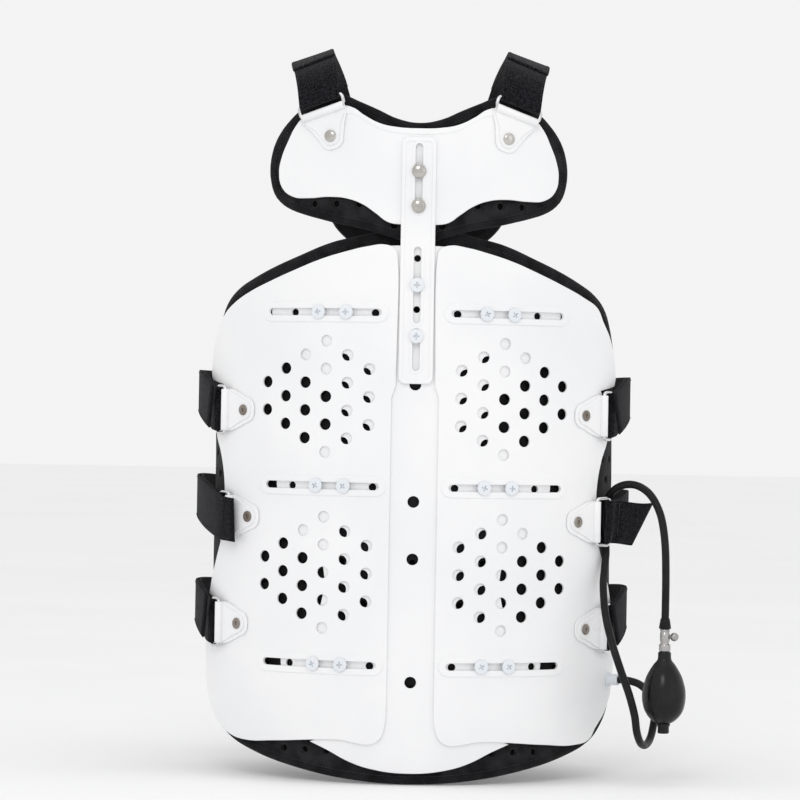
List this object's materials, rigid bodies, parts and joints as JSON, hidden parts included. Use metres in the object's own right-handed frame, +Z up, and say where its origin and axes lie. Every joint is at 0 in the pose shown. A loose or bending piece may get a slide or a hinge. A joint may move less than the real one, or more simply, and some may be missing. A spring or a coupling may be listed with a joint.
{
  "type": "back brace",
  "caption": "Thoracolumbar back brace: perforated wings on a slotted centre plate, upper back plate on a strut, padded liners, ringed straps, air pump.",
  "frame": {"origin": "the axis of the wearer's torso at the height of the middle strap", "axes": "+Z up the wearer's spine, -Y out of the wearer's back, +X to the wearer's right"},
  "size_m": [0.431, 0.2856, 0.6448],
  "materials": {
    "white_plastic": "satin",
    "liner_fabric": "matte",
    "webbing": "matte",
    "hook_tape": "matte",
    "steel": "polished",
    "rubber": "satin",
    "bladder_film": "matte"
  },
  "bodies": {
    "back_panel": {"center_plate": "white_plastic", "back_liner": "liner_fabric", "air_bladder": "bladder_film", "wing_screws": "white_plastic", "wing_nuts": "white_plastic", "strut_screws": "white_plastic", "strut_nuts": "white_plastic", "front_plate": "white_plastic", "front_liner": "liner_fabric", "front_screws": "white_plastic", "front_nuts": "white_plastic", "front_patches": "hook_tape"},
    "left_wing": {"wing_left": "white_plastic", "wing_rivets_left": "steel"},
    "right_wing": {"wing_right": "white_plastic", "wing_rivets_right": "steel", "hose_grommet": "white_plastic", "hose": "rubber", "hose_ferrule": "rubber", "valve_body": "steel", "pump_bulb": "rubber", "inlet_cap": "rubber"},
    "release_knob": {"valve_knob": "steel"},
    "rear_strut": {"back_strut": "white_plastic"},
    "upper_back": {"thoracic_plate": "white_plastic", "thoracic_liner": "liner_fabric", "thoracic_screws": "steel", "thoracic_nuts": "steel", "shoulder_rivets": "steel"},
    "chest_strut": {"front_strut": "white_plastic"},
    "chest": {"sternal_plate": "white_plastic", "sternal_liner": "liner_fabric", "sternal_screws": "white_plastic", "sternal_nuts": "white_plastic", "sternal_patches": "hook_tape"},
    "left_top_tab": {"tab_left_top": "white_plastic"},
    "left_top_strap": {"ring_left_top": "steel", "strap_left_top": "webbing"},
    "left_mid_tab": {"tab_left_mid": "white_plastic"},
    "left_mid_strap": {"ring_left_mid": "steel", "strap_left_mid": "webbing"},
    "left_low_tab": {"tab_left_low": "white_plastic"},
    "left_low_strap": {"ring_left_low": "steel", "strap_left_low": "webbing"},
    "right_top_tab": {"tab_right_top": "white_plastic"},
    "right_top_strap": {"ring_right_top": "steel", "strap_right_top": "webbing"},
    "right_mid_tab": {"tab_right_mid": "white_plastic"},
    "right_mid_strap": {"ring_right_mid": "steel", "strap_right_mid": "webbing"},
    "right_low_tab": {"tab_right_low": "white_plastic"},
    "right_low_strap": {"ring_right_low": "steel", "strap_right_low": "webbing"},
    "left_shoulder_tab": {"shoulder_tab_left": "white_plastic"},
    "left_shoulder_strap": {"shoulder_ring_left": "steel", "shoulder_strap_left": "webbing"},
    "right_shoulder_tab": {"shoulder_tab_right": "white_plastic"},
    "right_shoulder_strap": {"shoulder_ring_right": "steel", "shoulder_strap_right": "webbing"}
  },
  "joints": [
    {"name": "left_wing_width", "type": "hinge", "parent": "back_panel", "child": "left_wing", "pos_m": [0, 0.07654, 0], "axis": [0, 0, -1], "range_deg": [0, 6.5]},
    {"name": "right_wing_width", "type": "hinge", "parent": "back_panel", "child": "right_wing", "pos_m": [0, 0.07654, 0], "axis": [0, 0, 1], "range_deg": [0, 6.5]},
    {"name": "rear_strut_height", "type": "slide", "parent": "back_panel", "child": "rear_strut", "axis": [0, 0, 1], "range_m": [-0.003, 0.026]},
    {"name": "upper_back_height", "type": "slide", "parent": "rear_strut", "child": "upper_back", "axis": [0, 0, 1], "range_m": [-0.003, 0.02]},
    {"name": "chest_strut_height", "type": "slide", "parent": "back_panel", "child": "chest_strut", "axis": [0, 0, 1], "range_m": [-0.018, 0.004]},
    {"name": "chest_height", "type": "slide", "parent": "chest_strut", "child": "chest", "axis": [0, 0, 1], "range_m": [-0.012, 0.012]},
    {"name": "release_knob_turn", "type": "hinge", "parent": "right_wing", "child": "release_knob", "pos_m": [0.225, -0.1, -0.098], "axis": [1, 0, 0], "range_deg": [0, 270]},
    {"name": "left_top_tab_swivel", "type": "hinge", "parent": "left_wing", "child": "left_top_tab", "pos_m": [-0.14841, -0.07985, 0.093], "axis": [-0.6884, -0.7254, 0], "range_deg": [-4, 4]},
    {"name": "left_top_strap_swing", "type": "hinge", "parent": "left_top_tab", "child": "left_top_strap", "pos_m": [-0.16671, -0.06717, 0.093], "axis": [0, 0, 1], "range_deg": [0, 60]},
    {"name": "left_mid_tab_swivel", "type": "hinge", "parent": "left_wing", "child": "left_mid_tab", "pos_m": [-0.14286, -0.08493, 0], "axis": [-0.6626, -0.749, 0], "range_deg": [-4, 4]},
    {"name": "left_mid_strap_swing", "type": "hinge", "parent": "left_mid_tab", "child": "left_mid_strap", "pos_m": [-0.16159, -0.0729, 0], "axis": [0, 0, 1], "range_deg": [0, 60]},
    {"name": "left_low_tab_swivel", "type": "hinge", "parent": "left_wing", "child": "left_low_tab", "pos_m": [-0.15112, -0.07723, -0.094], "axis": [-0.7009, -0.7133, 0], "range_deg": [-4, 4]},
    {"name": "left_low_strap_swing", "type": "hinge", "parent": "left_low_tab", "child": "left_low_strap", "pos_m": [-0.16919, -0.06424, -0.094], "axis": [0, 0, 1], "range_deg": [0, 60]},
    {"name": "right_top_tab_swivel", "type": "hinge", "parent": "right_wing", "child": "right_top_tab", "pos_m": [0.14841, -0.07985, 0.093], "axis": [0.6884, -0.7254, 0], "range_deg": [-4, 4]},
    {"name": "right_top_strap_swing", "type": "hinge", "parent": "right_top_tab", "child": "right_top_strap", "pos_m": [0.16671, -0.06717, 0.093], "axis": [0, 0, -1], "range_deg": [0, 60]},
    {"name": "right_mid_tab_swivel", "type": "hinge", "parent": "right_wing", "child": "right_mid_tab", "pos_m": [0.14286, -0.08493, 0], "axis": [0.6626, -0.749, 0], "range_deg": [-4, 3]},
    {"name": "right_mid_strap_swing", "type": "hinge", "parent": "right_mid_tab", "child": "right_mid_strap", "pos_m": [0.16159, -0.0729, 0], "axis": [0, 0, -1], "range_deg": [0, 60]},
    {"name": "right_low_tab_swivel", "type": "hinge", "parent": "right_wing", "child": "right_low_tab", "pos_m": [0.15112, -0.07723, -0.094], "axis": [0.7009, -0.7133, 0], "range_deg": [-4, 4]},
    {"name": "right_low_strap_swing", "type": "hinge", "parent": "right_low_tab", "child": "right_low_strap", "pos_m": [0.16919, -0.06424, -0.094], "axis": [0, 0, -1], "range_deg": [0, 60]},
    {"name": "left_shoulder_tab_swivel", "type": "hinge", "parent": "upper_back", "child": "left_shoulder_tab", "pos_m": [-0.07626, -0.12212, 0.331], "axis": [-0.3584, -0.9336, 0], "range_deg": [-5, 5]},
    {"name": "left_shoulder_strap_lift", "type": "hinge", "parent": "left_shoulder_tab", "child": "left_shoulder_strap", "pos_m": [-0.08383, -0.12286, 0.35192], "axis": [0.8879, -0.3408, 0.309], "range_deg": [0, 90]},
    {"name": "right_shoulder_tab_swivel", "type": "hinge", "parent": "upper_back", "child": "right_shoulder_tab", "pos_m": [0.07626, -0.12212, 0.331], "axis": [0.3584, -0.9336, 0], "range_deg": [-5, 5]},
    {"name": "right_shoulder_strap_lift", "type": "hinge", "parent": "right_shoulder_tab", "child": "right_shoulder_strap", "pos_m": [0.08383, -0.12286, 0.35192], "axis": [0.8879, 0.3408, -0.309], "range_deg": [0, 90]}
  ]
}
